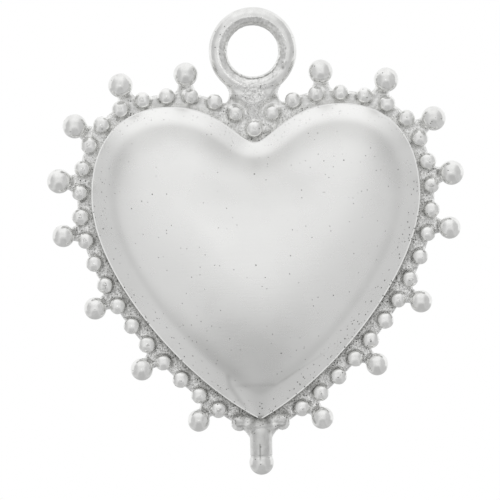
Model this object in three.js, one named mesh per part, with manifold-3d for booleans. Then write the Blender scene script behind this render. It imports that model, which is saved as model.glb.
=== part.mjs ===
// A silver heart pendant: a hollow puffed heart on a flat back plate, bordered by a chain of granules with
// larger balls nested outside them, a drop at the tip and a ring to hang it by.
// Millimetres, +Z up. The front faces -Y, and the origin is the centre of the ring.
import * as THREE from "three";
import { mergeVertices } from "three/addons/utils/BufferGeometryUtils.js";
import Module from "manifold-3d";

const wasm = await Module();
wasm.setup();

// Ring and the seat that it is soldered to
const RING_HOLE = 6.05; // inner diameter
const RING_WIRE = 2.28; // diameter of the round wire
const RING_FLAT = 0.4; // depth of the flat filed at the ring's foot
const SEAT_SPREAD = 33; // degrees of the ring's circle, each side of its foot, that the seat spans
const SEAT_DEPTH = 1.1; // front to back
const SEAT_FLARE = 0.2; // how far the seat's foot spreads past its top, each side
const SEAT_CLEARANCE = 0.35; // from the seat down to the granules in the cleft

// Raised heart
const HEART_WIDTH = 39.4;
const HEART_HEIGHT = 37.7; // lobe crowns to tip
const LOBE_SPREAD = 20.5; // between the two lobe crowns
const NOTCH_DEPTH = 4.47; // crowns down to the notch
const WIDEST_DROP = 10.8; // crowns down to the widest point
const DOME_HEIGHT = 5.5; // above the back plate
const DOME_FOOT = 1.1; // height of its upright edge
const BEVEL_ANGLE = 36; // degrees at which the bevel rises from that edge
const CROWN_START = 1.76; // height at which the crown's swell would meet the edge, without the bevel
const CROWN_POWER = 1.5; // 1 swells evenly to the middle, 2 has a flatter top
const CREASE = 0.12; // softness of the crease between bevel and crown
const DOME_WALL = 0.8;

// Back plate
const PLATE_THICKNESS = 1.0;
const PLATE_LIP = 0.3; // plate edge outside the granules' centre line
const VENT_HOLE = 1.2; // diameter of the hole that lets the hollow breathe
const TAB_ROOT = 2.6; // width of a ball's tab where it leaves the plate
const TAB_MARGIN = 0.12; // tab left round the foot of a ball

// Granule chain: its centre line runs round the dome at these gaps
const GRANULE_DIAMETER = 1.9;
const GRANULE_FOOT = 0.15; // height that its round form loses to the flat that it sits on
const GRANULE_HEIGHT = 1.2; // melting has settled it to this, above the plate
const LOBE_GAP = 0.37; // dome edge to granules at the lobe crowns
const NOTCH_GAP = 0.64; // and in the notch
const SIDE_GAP = 0.5; // and at the widest point
const TIP_GAP = 0.79; // and at the tip
const RIM_DROP = 0.28; // chain's crowns below the ring's flat
const RIM_CROWN_SHIFT = 1.2; // chain's crowns nearer the middle than the dome's, each side
const RIM_WIDEST_SHIFT = 0.86; // chain's widest point below the dome's
const BRIDGE_WIDTH = 0.9; // solder that joins the two granules of a pair
const BRIDGE_HEIGHT = 0.6;

// Balls: the larger ones are on the upper half
const UPPER_BALL_DIAMETER = 3.0;
const LOWER_BALL_DIAMETER = 2.75;
const UPPER_BALLS = 4; // a side
const BALL_FOOT = 0.2; // height lost to the flat that a ball sits on
const BALL_GAP = 0.06; // ball to granule where they come closest

// Drop at the tip
const DROP_LENGTH = 5.2;
const DROP_STEM = 2.65; // diameter
const DROP_SWELL = 0.15; // how far its round end stands out past the stem
const DROP_FLARE = 0.28; // how far its top spreads past the stem
const DROP_FLARE_LENGTH = 0.9;
const DROP_FLAT = 0.25; // depth of the flat along the back of its stem
const DROP_GAP = 0.1; // below the last granules
const DROP_TAB = 2.0; // width of the plate's tab under it
const DROP_TAB_ROOT = 4.0; // and where that tab leaves the plate

// Pattern of the chain down each side, from the granule in the cleft to the drop
const LEAD_GRANULES = 2; // single granules beside the cleft
const CLOSE_PAIRS = 5; // pairs that follow one another
const SPACED_PAIRS = 3; // pairs below them, each after a single granule
const BALL_PLACE = 0.6; // how far along its pair a ball sits, from the upper granule to the lower
const FIRST_BALL_PLACE = 0.25; // and the ball next to the ring

// Fullness of the curves: each handle as a share of the span that it bends
const DOME_CURVE = {
  notch: 0.18, crownIn: 0.6, crownOut: 0.55, shoulder: 0.7, flank: 0.34, tip: 0.31, tipAngle: 28,
};
const RIM_CURVE = {
  notch: 0.05, crownIn: 0.66, crownOut: 0.6, shoulder: 0.76, flank: 0.34, tip: 0.31, tipAngle: 24.5,
};

// Facets
const OUTLINE_STEPS = 36; // down one side of the heart
const FIELD_STEPS = 300; // down one side, for measuring distances to the edge
const DOME_RINGS = 9;
const RING_CROWDING = 1.7; // 1 spaces the dome's rings evenly, more crowds them to the edge
const PLATE_STEPS = 60; // down one side of the plate
const ARC_STEPS = 3; // a quarter circle, roughly
const GRANULE_SIDES = 10;
const BALL_SIDES = 12;
const DROP_SIDES = 16;
const RING_SIDES = 12;
const RING_STEPS = 40;

const ringRadius = (RING_HOLE + RING_WIRE) / 2;
const ringOuter = RING_HOLE / 2 + RING_WIRE;
const granuleRadius = GRANULE_DIAMETER / 2;
const backY = RING_WIRE / 2; // the plate's back is flush with the ring's
const frontY = backY - PLATE_THICKNESS; // everything on the plate sits on this plane
const seatZ = RING_FLAT - ringOuter;
const seatHalfWidth = ringOuter * Math.sin(THREE.MathUtils.degToRad(SEAT_SPREAD));
const bevelAngle = THREE.MathUtils.degToRad(BEVEL_ANGLE);

const rimCrownZ = seatZ - RIM_DROP;
const crownZ = rimCrownZ - granuleRadius - LOBE_GAP;
const domeAnchors = {
  notch: new THREE.Vector2(0, crownZ - NOTCH_DEPTH),
  crown: new THREE.Vector2(LOBE_SPREAD / 2, crownZ),
  widest: new THREE.Vector2(HEART_WIDTH / 2, crownZ - WIDEST_DROP),
  tip: new THREE.Vector2(0, crownZ - HEART_HEIGHT),
};
const rimAnchors = {
  notch: new THREE.Vector2(0, domeAnchors.notch.y + granuleRadius + NOTCH_GAP),
  crown: new THREE.Vector2(domeAnchors.crown.x - RIM_CROWN_SHIFT, rimCrownZ),
  widest: new THREE.Vector2(
    domeAnchors.widest.x + granuleRadius + SIDE_GAP,
    domeAnchors.widest.y - RIM_WIDEST_SHIFT,
  ),
  tip: new THREE.Vector2(0, domeAnchors.tip.y - granuleRadius - TIP_GAP),
};

// One side of a heart, from its notch over the lobe and down the flank to its tip, as x and z.
function halfHeart({ notch, crown, widest, tip }, curve) {
  const tipAngle = THREE.MathUtils.degToRad(curve.tipAngle);
  const tipHandle = widest.distanceTo(tip) * curve.tip;
  const path = new THREE.CurvePath();
  path.add(new THREE.CubicBezierCurve(
    notch,
    new THREE.Vector2(notch.x + crown.x * curve.notch, notch.y),
    new THREE.Vector2(crown.x - crown.x * curve.crownIn, crown.y),
    crown,
  ));
  path.add(new THREE.CubicBezierCurve(
    crown,
    new THREE.Vector2(crown.x + (widest.x - crown.x) * curve.crownOut, crown.y),
    new THREE.Vector2(widest.x, widest.y + (crown.y - widest.y) * curve.shoulder),
    widest,
  ));
  path.add(new THREE.CubicBezierCurve(
    widest,
    new THREE.Vector2(widest.x, widest.y - (widest.y - tip.y) * curve.flank),
    new THREE.Vector2(tip.x + tipHandle * Math.cos(tipAngle), tip.y + tipHandle * Math.sin(tipAngle)),
    tip,
  ));
  return path;
}

// Outward normal of one side of a heart, at a share of its length.
function outward(half, share) {
  const tangent = half.getTangent(share);
  return new THREE.Vector2(-tangent.y, tangent.x);
}

// Closed outline, clockwise from the notch, pushed out by a distance.
function wholeHeart(half, steps, push = 0) {
  const right = [];
  for (let i = 0; i <= steps; i += 1) {
    const point = half.getPoint(i / steps).addScaledVector(outward(half, i / steps), push);
    if (i === 0 || i === steps) point.x = 0;
    right.push(point);
  }
  const left = right.slice(1, -1).reverse().map((p) => new THREE.Vector2(-p.x, p.y));
  return [...right, ...left];
}

// Solids for joining and cutting

function toSolid(geometry) {
  const bare = new THREE.BufferGeometry();
  bare.setAttribute("position", geometry.getAttribute("position").clone());
  bare.setIndex(geometry.getIndex());
  const merged = mergeVertices(bare);
  const corners = merged.getIndex().array;
  const triVerts = [];
  for (let i = 0; i < corners.length; i += 3) {
    const [a, b, c] = [corners[i], corners[i + 1], corners[i + 2]];
    if (a !== b && b !== c && c !== a) triVerts.push(a, b, c);
  }
  return new wasm.Manifold(new wasm.Mesh({
    numProp: 3,
    vertProperties: merged.getAttribute("position").array,
    triVerts: Uint32Array.from(triVerts),
  }));
}

function toGeometry(solid) {
  const mesh = solid.getMesh();
  const geometry = new THREE.BufferGeometry();
  geometry.setAttribute("position", new THREE.BufferAttribute(mesh.vertProperties, 3));
  geometry.setIndex(new THREE.BufferAttribute(mesh.triVerts, 1));
  geometry.computeVertexNormals();
  return geometry;
}

// A flat shape drawn in x and z, grown towards the front from y = 0.
function slab(shape, depth) {
  const options = { depth, bevelEnabled: false, curveSegments: 2 * ARC_STEPS };
  return new THREE.ExtrudeGeometry(shape, options).rotateX(Math.PI / 2);
}

// A ball that bulges towards the front from a flat foot on y = 0.
function footedBall(diameter, foot, sides) {
  const radius = diameter / 2;
  const centre = radius - foot;
  const profile = new THREE.Path();
  profile.absarc(0, -centre, radius, -Math.PI / 2, Math.asin(centre / radius), false);
  profile.lineTo(0, 0);
  return new THREE.LatheGeometry(profile.getPoints(ARC_STEPS), sides);
}

function footRadius(diameter, foot) {
  return Math.sqrt((diameter / 2) ** 2 - (diameter / 2 - foot) ** 2);
}

// Heart dome

// Distance from the edge, smoothed so that it has no ridge along the middle: the mean of the inverse fourth
// powers of the distances to all of the edge.
function edgeDistance(point, edge) {
  let sum = 0;
  edge.forEach((from, i) => {
    const to = edge[(i + 1) % edge.length];
    const middle = from.clone().add(to).multiplyScalar(0.5);
    sum += from.distanceTo(to) / point.distanceToSquared(middle) ** 2;
  });
  return Math.cbrt(Math.PI / 2 / sum);
}

// Height of the dome at a distance from its edge: the lower of a straight bevel and a swelling crown, with a
// soft crease where they meet.
function puffedHeight(distance, reach, { height, foot, start }) {
  const bevel = foot + distance * Math.tan(bevelAngle);
  const swell = 1 - Math.abs(1 - distance / reach) ** CROWN_POWER;
  const crown = start + (height - start) * swell;
  return -CREASE * Math.log(Math.exp(-bevel / CREASE) + Math.exp(-crown / CREASE));
}

// Rings of points from an outline on the plate, up its upright foot and in to the heart's middle.
function puffedRings(outline, edge, middle, sizes) {
  const reach = edgeDistance(middle, edge);
  const rings = [outline.map((point) => new THREE.Vector3(point.x, 0, point.y))];
  for (let ring = 0; ring < DOME_RINGS; ring += 1) {
    const shrink = 1 - (ring / DOME_RINGS) ** RING_CROWDING;
    rings.push(outline.map((point) => {
      const place = middle.clone().lerp(point, shrink);
      const rise = ring === 0 ? sizes.foot : puffedHeight(edgeDistance(place, edge), reach, sizes);
      return new THREE.Vector3(place.x, -rise, place.y);
    }));
  }
  return { rings, apex: new THREE.Vector3(middle.x, -sizes.height, middle.y) };
}

// The outline drawn in towards the middle by a wall's thickness, measured square to the outline.
function inset(half, steps, middle, wall) {
  const right = [];
  for (let i = 0; i <= steps; i += 1) {
    const point = half.getPoint(i / steps);
    const normal = i === steps ? new THREE.Vector2(0, -1) : outward(half, i / steps);
    const away = point.clone().sub(middle);
    right.push(middle.clone().addScaledVector(away, 1 - wall / away.dot(normal)));
  }
  const left = right.slice(1, -1).reverse().map((p) => new THREE.Vector2(-p.x, p.y));
  return [...right, ...left];
}

function domeGeometry() {
  const half = halfHeart(domeAnchors, DOME_CURVE);
  const middle = new THREE.Vector2(0, (domeAnchors.notch.y + domeAnchors.widest.y + domeAnchors.tip.y) / 3);
  const outer = puffedRings(
    wholeHeart(half, OUTLINE_STEPS),
    wholeHeart(half, FIELD_STEPS),
    middle,
    { height: DOME_HEIGHT, foot: DOME_FOOT, start: CROWN_START },
  );
  const inner = puffedRings(
    inset(half, OUTLINE_STEPS, middle, DOME_WALL),
    inset(half, FIELD_STEPS, middle, DOME_WALL),
    middle,
    {
      height: DOME_HEIGHT - DOME_WALL,
      foot: DOME_FOOT + DOME_WALL * (Math.tan(bevelAngle) - 1 / Math.cos(bevelAngle)),
      start: CROWN_START - DOME_WALL,
    },
  );
  const points = [...outer.rings.flat(), outer.apex, ...inner.rings.flat(), inner.apex];
  const count = outer.rings[0].length;
  const ringCount = outer.rings.length;
  const innerStart = count * ringCount + 1;
  const faces = [];
  const band = (from, to) => {
    for (let i = 0; i < count; i += 1) {
      const next = (i + 1) % count;
      faces.push(from + i, to + next, from + next, from + i, to + i, to + next);
    }
  };
  for (let ring = 1; ring < ringCount; ring += 1) {
    band((ring - 1) * count, ring * count);
    band(innerStart + ring * count, innerStart + (ring - 1) * count);
  }
  band(innerStart, 0);
  const lastOuter = (ringCount - 1) * count;
  for (let i = 0; i < count; i += 1) {
    const next = (i + 1) % count;
    faces.push(lastOuter + next, lastOuter + i, innerStart - 1);
    faces.push(innerStart + lastOuter + i, innerStart + lastOuter + next, points.length - 1);
  }
  const geometry = new THREE.BufferGeometry().setFromPoints(points);
  geometry.setIndex(faces);
  geometry.computeVertexNormals();
  return geometry;
}

// Granule chain and balls

// Stations are equal steps along the chain: 0 is the granule in the cleft, and the drop is at the last one.
const singleStations = [];
const pairStations = []; // of the upper granule of each pair
let nextStation = 1;
for (let i = 0; i < LEAD_GRANULES; i += 1) {
  singleStations.push(nextStation);
  nextStation += 1;
}
for (let i = 0; i < CLOSE_PAIRS + SPACED_PAIRS; i += 1) {
  if (i >= CLOSE_PAIRS) {
    singleStations.push(nextStation);
    nextStation += 1;
  }
  pairStations.push(nextStation);
  nextStation += 2;
}
const lastSingle = nextStation;
singleStations.push(lastSingle);
const dropStation = lastSingle + 1;

const rim = halfHeart(rimAnchors, RIM_CURVE);
const stationPoint = (station) => rim.getPoint(station / dropStation);
const stationNormal = (station) => outward(rim, station / dropStation);

const balls = pairStations.map((station, i) => {
  const diameter = i < UPPER_BALLS ? UPPER_BALL_DIAMETER : LOWER_BALL_DIAMETER;
  return {
    diameter,
    station: station + (i === 0 ? FIRST_BALL_PLACE : BALL_PLACE),
    reach: granuleRadius + diameter / 2 + BALL_GAP, // out from the chain's centre line
  };
});

const granuleGeometry = footedBall(GRANULE_DIAMETER, GRANULE_FOOT, GRANULE_SIDES)
  .scale(1, GRANULE_HEIGHT / (GRANULE_DIAMETER - GRANULE_FOOT), 1);

// Two neighbouring granules and the solder between them; side is 1 for the right, -1 for the left.
function pairGeometry(start, side) {
  const places = [stationPoint(start), stationPoint(start + 1)];
  places.forEach((place) => { place.x *= side; });
  const along = places[1].clone().sub(places[0]);
  const middle = places[0].clone().lerp(places[1], 0.5);
  const bridge = new THREE.BoxGeometry(along.length(), BRIDGE_HEIGHT, BRIDGE_WIDTH)
    .rotateY(Math.atan2(-along.y, along.x))
    .translate(middle.x, -BRIDGE_HEIGHT / 2, middle.y);
  const granules = places.map((place) => granuleGeometry.clone().translate(place.x, 0, place.y));
  return toGeometry(granules.map(toSolid).reduce((joined, granule) => joined.add(granule), toSolid(bridge)));
}

// Drop

const dropTopZ = stationPoint(lastSingle).y - granuleRadius - DROP_GAP;
const dropTipRadius = DROP_STEM / 2 + DROP_SWELL;
const dropTipDepth = DROP_LENGTH - dropTipRadius; // from its top down to the centre of its round end

function dropGeometry() {
  const stem = DROP_STEM / 2;
  const tipTurn = Math.acos(stem / dropTipRadius); // where the stem meets the round end
  const profile = new THREE.Path();
  profile.absarc(0, -dropTipDepth, dropTipRadius, -Math.PI / 2, tipTurn, false);
  profile.lineTo(stem, -DROP_FLARE_LENGTH);
  profile.quadraticCurveTo(stem, 0, stem + DROP_FLARE, 0);
  profile.lineTo(0, 0);
  const axisDepth = stem - DROP_FLAT;
  const body = new THREE.LatheGeometry(profile.getPoints(2 * ARC_STEPS), DROP_SIDES)
    .rotateX(Math.PI / 2)
    .translate(0, -axisDepth, 0);
  const size = 3 * DROP_LENGTH;
  const behind = new THREE.BoxGeometry(size, size, size).translate(0, size / 2, 0);
  return toGeometry(toSolid(body).subtract(toSolid(behind)));
}

// Back plate

// A tab that leaves the plate at one place, square to its edge, and ends in a half circle.
function tabSolid(place, normal, reach, root, end) {
  const shape = new THREE.Shape();
  shape.moveTo(-root / 2, 0);
  shape.lineTo(root / 2, 0);
  shape.quadraticCurveTo(end, reach / 3, end, reach);
  shape.absarc(0, reach, end, 0, Math.PI, false);
  shape.quadraticCurveTo(-end, reach / 3, -root / 2, 0);
  const turned = new THREE.ExtrudeGeometry(shape, {
    depth: PLATE_THICKNESS,
    bevelEnabled: false,
    curveSegments: 2 * ARC_STEPS,
  });
  turned.rotateZ(Math.atan2(-normal.x, normal.y)).translate(place.x, place.y, 0).rotateX(Math.PI / 2);
  return toSolid(turned);
}

function plateGeometry() {
  const tongue = new THREE.Shape();
  tongue.moveTo(-seatHalfWidth, seatZ);
  tongue.lineTo(-seatHalfWidth, domeAnchors.notch.y);
  tongue.lineTo(seatHalfWidth, domeAnchors.notch.y);
  tongue.lineTo(seatHalfWidth, seatZ);
  const base = new THREE.Shape(wholeHeart(rim, PLATE_STEPS, PLATE_LIP));
  let plate = toSolid(slab(base, PLATE_THICKNESS)).add(toSolid(slab(tongue, PLATE_THICKNESS)));
  for (const { diameter, station, reach } of balls) {
    const end = footRadius(diameter, BALL_FOOT) + TAB_MARGIN;
    for (const side of [1, -1]) {
      const place = stationPoint(station);
      const normal = stationNormal(station);
      place.x *= side;
      normal.x *= side;
      plate = plate.add(tabSolid(place, normal, reach, TAB_ROOT, end));
    }
  }
  const dropReach = rimAnchors.tip.y - dropTopZ + dropTipDepth;
  const down = new THREE.Vector2(0, -1);
  plate = plate.add(tabSolid(rimAnchors.tip, down, dropReach, DROP_TAB_ROOT, DROP_TAB / 2));
  const vent = new THREE.CylinderGeometry(VENT_HOLE / 2, VENT_HOLE / 2, 3 * PLATE_THICKNESS, DROP_SIDES)
    .translate(0, 0, domeAnchors.widest.y);
  return toGeometry(plate.subtract(toSolid(vent)));
}

// Ring and seat

function ringGeometry() {
  const ring = new THREE.TorusGeometry(ringRadius, RING_WIRE / 2, RING_SIDES, RING_STEPS);
  ring.rotateX(Math.PI / 2);
  const size = 4 * ringOuter;
  const below = new THREE.BoxGeometry(size, size, size).translate(0, 0, seatZ - size / 2);
  return toGeometry(toSolid(ring).subtract(toSolid(below)));
}

function seatGeometry() {
  const foot = stationPoint(1).y + granuleRadius + SEAT_CLEARANCE;
  const flared = seatHalfWidth + SEAT_FLARE;
  const shape = new THREE.Shape();
  shape.moveTo(-seatHalfWidth, seatZ);
  shape.quadraticCurveTo(-seatHalfWidth, foot, -flared, foot);
  shape.lineTo(flared, foot);
  shape.quadraticCurveTo(seatHalfWidth, foot, seatHalfWidth, seatZ);
  return slab(shape, SEAT_DEPTH);
}

// Assembly

const POLISHED = { color: 0xdcdcda, roughness: 0.15, metalness: 1 };
const SATIN = { color: 0xcfcfcc, roughness: 0.3, metalness: 1 };
const DULL = { color: 0x8f8f8c, roughness: 0.5, metalness: 1 };

const pendant = new THREE.Group();
const onPlate = new THREE.Group(); // its y = 0 is the plate's front face
onPlate.position.y = frontY;
pendant.add(onPlate);

function piece(parent, name, geometry, look, place = { x: 0, y: 0, z: 0 }) {
  const mesh = new THREE.Mesh(geometry, new THREE.MeshStandardMaterial(look));
  mesh.name = name;
  mesh.position.copy(place);
  parent.add(mesh);
}

piece(pendant, "back_plate", plateGeometry(), DULL, { x: 0, y: backY, z: 0 });
piece(pendant, "bail_ring", ringGeometry(), POLISHED);
piece(onPlate, "bail_seat", seatGeometry(), DULL);
piece(onPlate, "heart_dome", domeGeometry(), SATIN);
piece(onPlate, "drop", dropGeometry(), POLISHED, { x: 0, y: 0, z: dropTopZ });
piece(onPlate, "cleft_granule", granuleGeometry, POLISHED, { x: 0, y: 0, z: rimAnchors.notch.y });

for (const [word, side] of [["left", -1], ["right", 1]]) {
  for (const station of singleStations) {
    const place = stationPoint(station);
    const name = `granule_${word}_${String(station).padStart(2, "0")}`;
    piece(onPlate, name, granuleGeometry, POLISHED, { x: side * place.x, y: 0, z: place.y });
  }
  balls.forEach(({ diameter, station, reach }, i) => {
    piece(onPlate, `granule_pair_${word}_${i + 1}`, pairGeometry(pairStations[i], side), POLISHED);
    const place = stationPoint(station).addScaledVector(stationNormal(station), reach);
    const ball = footedBall(diameter, BALL_FOOT, BALL_SIDES);
    piece(onPlate, `ball_${word}_${i + 1}`, ball, POLISHED, { x: side * place.x, y: 0, z: place.y });
  });
}

export default pendant;
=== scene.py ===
"""A silver heart pendant with a granulated border: the finished surfaces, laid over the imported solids.

Sizes are in millimetres and are turned into metres where a mesh is made. The front faces -Y, +Z is up and
the origin is the centre of the ring.
"""

import math

import bmesh
import bpy
import numpy as np
from mathutils import Matrix, Vector, noise


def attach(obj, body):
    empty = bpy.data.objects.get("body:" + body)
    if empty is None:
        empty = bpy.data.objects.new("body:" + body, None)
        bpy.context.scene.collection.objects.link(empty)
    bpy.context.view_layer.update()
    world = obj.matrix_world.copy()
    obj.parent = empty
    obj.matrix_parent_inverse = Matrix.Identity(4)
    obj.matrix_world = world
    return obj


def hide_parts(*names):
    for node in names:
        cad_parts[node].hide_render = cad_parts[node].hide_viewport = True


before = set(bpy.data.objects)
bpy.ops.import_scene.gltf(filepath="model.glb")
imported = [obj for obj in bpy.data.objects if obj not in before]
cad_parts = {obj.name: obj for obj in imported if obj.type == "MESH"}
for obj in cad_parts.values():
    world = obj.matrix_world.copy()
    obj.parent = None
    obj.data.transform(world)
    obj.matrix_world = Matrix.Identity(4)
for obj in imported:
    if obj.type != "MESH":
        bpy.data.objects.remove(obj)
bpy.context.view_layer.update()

MM = 0.001

# Ring; a lean is an angle round its wire, from the front, less than 0 towards the hole
RING_HOLE = 6.05
RING_WIRE = 2.28
RING_FLAT = 0.4  # depth of the flat at the ring's foot
RING_INSET = 0.035  # how far its skin lies inside the solid
RING_RIDGE = 0.028  # height of the worn ridge round its front
RIDGE_LEAN = -7
RIDGE_WIDTH = 3.5
RING_FACET = 0.05  # how much flatter it is between that ridge and the hole
FACET_LEAN = -45
FACET_WIDTH = 24
RING_LUMP = 0.2  # height of the lump of solder on it
LUMP_LEAN = -4
LUMP_TURN = 114  # degrees round the ring, from its top
LUMP_WIDTH = 4.5
LUMP_SHADOW = (3.55, -2.15)  # where the painted shadow under that lump lies, as x and z

# Neck between ring and heart
NECK_HALF_WIDTH = 2.9
NECK_SPREAD = 0.5  # how much wider its foot is, each side
NECK_SPREAD_Z = -5.0
NECK_SPREAD_LENGTH = 2.5
NECK_HEIGHT = 1.05  # above the plate
NECK_FOOT_Z = -6.0
NECK_SLOPE = 3.6  # length over which it falls to the plate
NECK_STRIP = 1.1  # half width of that falling part
NECK_STRIP_Z = (-7.0, -5.2)  # it widens from that between these heights
NECK_END_Z = -11.0

# Raised heart
HEART_WIDTH = 39.4
HEART_HEIGHT = 37.7
LOBE_SPREAD = 20.5  # between the tops of its lobes
NOTCH_DEPTH = 4.47
WIDEST_DROP = 10.8  # from the tops of the lobes down to where it is widest
DOME_CURVE = dict(notch=0.18, crown_in=0.6, crown_out=0.55, shoulder=0.7, flank=0.34, tip=0.31, tip_angle=28)
DOME_HEIGHT = 5.5
DOME_WALL = 0.8
DOME_FOOT = 1.1  # height of the upright edge below the bevel
DOME_SEAT = 0.05  # how deep the dome is let into the plate
BEVEL_ANGLE = 36
CROWN_START = 1.76  # height at which the crown would meet the edge, if there were no bevel
CROWN_POWER = 1.5
CREASE = 0.12  # softness of the crease between bevel and crown, over the lobes
FLANK_CREASE = 0.04  # and down the flanks
CREASE_PLACE = 2.5  # its distance from the edge
DOME_LIP = 0.15  # width of the burnished lip along its edge
LIP_CORNER = 0.04  # radius of the lip's outer corner
DOME_WAVER = 0.02  # unevenness left by the hammer
WAVER_SIZE = 5.0
TIP_START = 0.05  # height of the facet at the tip, above the upright edge
TIP_SLOPE = 0.475  # its rise, for each millimetre up from the tip
TIP_FALL_LEFT = 0.364  # and its fall, for each millimetre to the left of its ridge
TIP_FALL_RIGHT = 0.41  # and to the right
TIP_ROUND = 1.2  # roundness of that ridge
TIP_LENGTH = 4.05  # from the tip up to the end of the facet
TIP_SIDE = 1.9  # right of this, that end runs up
TIP_CLIMB = 0.62  # by this much for each millimetre
TIP_LEDGE = 0.7  # length over which the facet runs out, past its end
TIP_LINE = ((-3.8, -39.0), (-3.6, -40.1), (-1.9, -42.7))  # painted shade in a dark line along the facet's left side, as x and z
TIP_FOLD = 0.03  # softness of that facet's edges

# Back plate; a tab is the part of it under a round piece, as a share of that piece's size
PLATE_THICKNESS = 1.0
PLATE_LIP = 0.3
PLATE_EDGE = 0.45  # radius of its rounded front edge
PLATE_BACK_EDGE = 0.22
PLATE_MIDDLE = 0.45  # share of its thickness where the rounded front edge starts
PLATE_INSET = 0.0001  # how far its back lies inside the solid
CREVICE_DEPTH = 0.08  # of the gap in the solder along the dome
GRANULE_TAB = 0.82
BALL_TAB = 0.6
RING_TAB = 0.45
DROP_TAB = 0.36
TAB_BLEND = 0.3
DROP_BLEND = 2.2
RING_TAB_Z = -3.6
RING_TAB_GAP = 0.15  # between that tab and the ring's hole
RING_TAB_BOW = 0.01  # how much that tab's hidden upper edge is bowed
VENT_HOLE = 1.2

# Granules, balls and drop
GRANULE_DIAMETER = 1.9
GRANULE_FOOT = 0.15
GRANULE_HEIGHT = 1.2  # above the plate
GRANULE_SWELL = 1.07  # its skin's width as a share of its solid's, to stand clear of the solder
GRANULE_SPREAD = 0.09  # how much that differs from one granule to another
GRANULE_DENTS = 0.035  # depth of its dents as a share of its radius
BALL_DENTS = 0.01
LOBE_GAP = 0.37  # between granules and dome, over the lobes
NOTCH_GAP = 0.64
SIDE_GAP = 0.5
TIP_GAP = 0.79
RIM_DROP = 0.28  # from the ring's foot down to the line of the granules
RIM_CROWN_SHIFT = 1.2
RIM_WIDEST_SHIFT = 0.86
RIM_CURVE = dict(
    notch=0.05, crown_in=0.66, crown_out=0.6, shoulder=0.76, flank=0.34, tip=0.31, tip_angle=24.5,
)
UPPER_BALL_DIAMETER = 3.0
LOWER_BALL_DIAMETER = 2.75
UPPER_BALLS = 4
BALL_FOOT = 0.2
BALL_GAP = 0.06
SINGLES = (1, 2, 13, 16, 19, 22)  # places of the single granules down one side, counted from the cleft
PAIRS = (3, 5, 7, 9, 11, 14, 17, 20)  # and of the upper granule of each pair
LAST_PLACE = 23  # the tip, where there is none
BALL_PLACE = 0.6  # where a ball sits, counted from the upper granule of its pair
FIRST_BALL_PLACE = 0.25
DROP_STEM = 2.65
DROP_END = 2.95  # diameter of its round end
DROP_LENGTH = 5.2
DROP_FLAT = 0.25
DROP_GAP = 0.1
DROP_GROOVE = 0.05  # depth of the groove between its stem and its round end
DROP_SEAM_Z = -48.6  # below this it is brighter
NICK_DEPTH = 0.06  # of a short upright nick in its front
NICK_WIDTH = 0.08
NICK_X = -0.15
NICK_TOP_Z = -47.0
NICK_FOOT_Z = -49.2
NICK_FADE = 0.3  # length over which it runs out at each end

# Solder
SOLDER_BLEND = 0.9  # radius over which the solder fills the corners of the plate's outline
SOLDER_FLOW = 0.3  # softness of the fillets that it leaves on the plate
SOLDER_CLIMB = 0.45  # share of the height of a ball's middle that it climbs
SOLDER_TOP = 3.3  # higher than any of it
TIP_FILL = 0.45  # height of the solder between the dome's tip and the drop
BEAD_PLACE = (1.55, -9.3)  # a stray bead of solder beside the granule in the cleft
BEAD_RADIUS = 0.36
SINK = 0.03  # how far the solder's own balls lie inside the real ones

# Fineness of the meshes
DOME_STEPS = 240  # down each side of the heart
RIM_SAMPLES = 1400
GRID_STEP = 0.11
GRANULE_LEVEL = 3
BALL_LEVEL = 4
RING_STEPS = 320
RING_SIDES = 144
DROP_SIDES = 128
VENT_SIDES = 32

# Grime and painted shade, from 0 on clean metal to 1 on dirt and painted shade in a corner
GRANULE_GRIME = 0.16
FOOT_SHADE = 0.2  # painted shade round a granule's foot
UNSHADED_HEIGHT = 0.4  # above the plate, from where a granule has no painted shade
BALL_GRIME = 0.2
RING_GRIME = 0.24
DROP_GRIME = 0.5
DROP_END_GRIME = 0.3
# painted shade inside the drop's nick
NICK_SHADE = 0.6
TIP_END_SHADE = 0.14  # painted shade along the end of the facet at the dome's tip
TIP_LINE_SHADE = 0.35  # and along its left side
DARKER_PART = (13, 30)  # how far below the ring's centre the plate gets darker
LIGHTER_PART = (9, 16)  # and how far below it stops being lighter

# Brightness of the silver where it is clean, where it is dirty or has shade painted on it, and in its pits; 1
# is white
SATIN_TONES = (0.905, 0.5, 0.3)
POLISHED_TONES = (0.93, 0.42, 0.2)
DULL_TONES = (0.93, 0.3, 0.14)
SCRATCH_TONE = 0.4
WARMTH = 0.01  # how much less blue there is in it

# Camera and studio
FIELD = 60.0  # width of the frame at the ring's plane
SENSOR = 36
CAMERA_DISTANCE = 600.0
CAMERA_CENTRE = (-0.83, -23.87)
CAMERA_ROLL = -1.26  # degrees
SKY_FRONT = 0.875  # strength of the light from the front; 1 is white
SKY_SIDE = 0.65
SKY_SHIFT = 0.08  # how far the front light's middle lies to the left
SKY_TOP = 1.17  # times as much from above
SKY_LOW = 0.67  # times as much from low down in front
LAMP_SIZE = 50.0
LAMP_POWER = 0.005  # watts
LAMP_PLACE = (-45, -580, 0)
LAMP_AIM = (0, 0, -24)
FLOOR_RADIUS = 420.0
FLOOR_Z = -82.0
FLOOR_COLOUR = (0.8, 0.8, 0.8, 1)
FLOOR_ROUGHNESS = 0.9

ring_radius = (RING_HOLE + RING_WIRE) / 2
ring_outer = RING_HOLE / 2 + RING_WIRE
granule_radius = GRANULE_DIAMETER / 2
granule_squash = GRANULE_HEIGHT / (GRANULE_DIAMETER - GRANULE_FOOT)
back_y = RING_WIRE / 2
front_y = back_y - PLATE_THICKNESS
rim_crown_z = RING_FLAT - ring_outer - RIM_DROP
crown_z = rim_crown_z - granule_radius - LOBE_GAP

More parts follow.
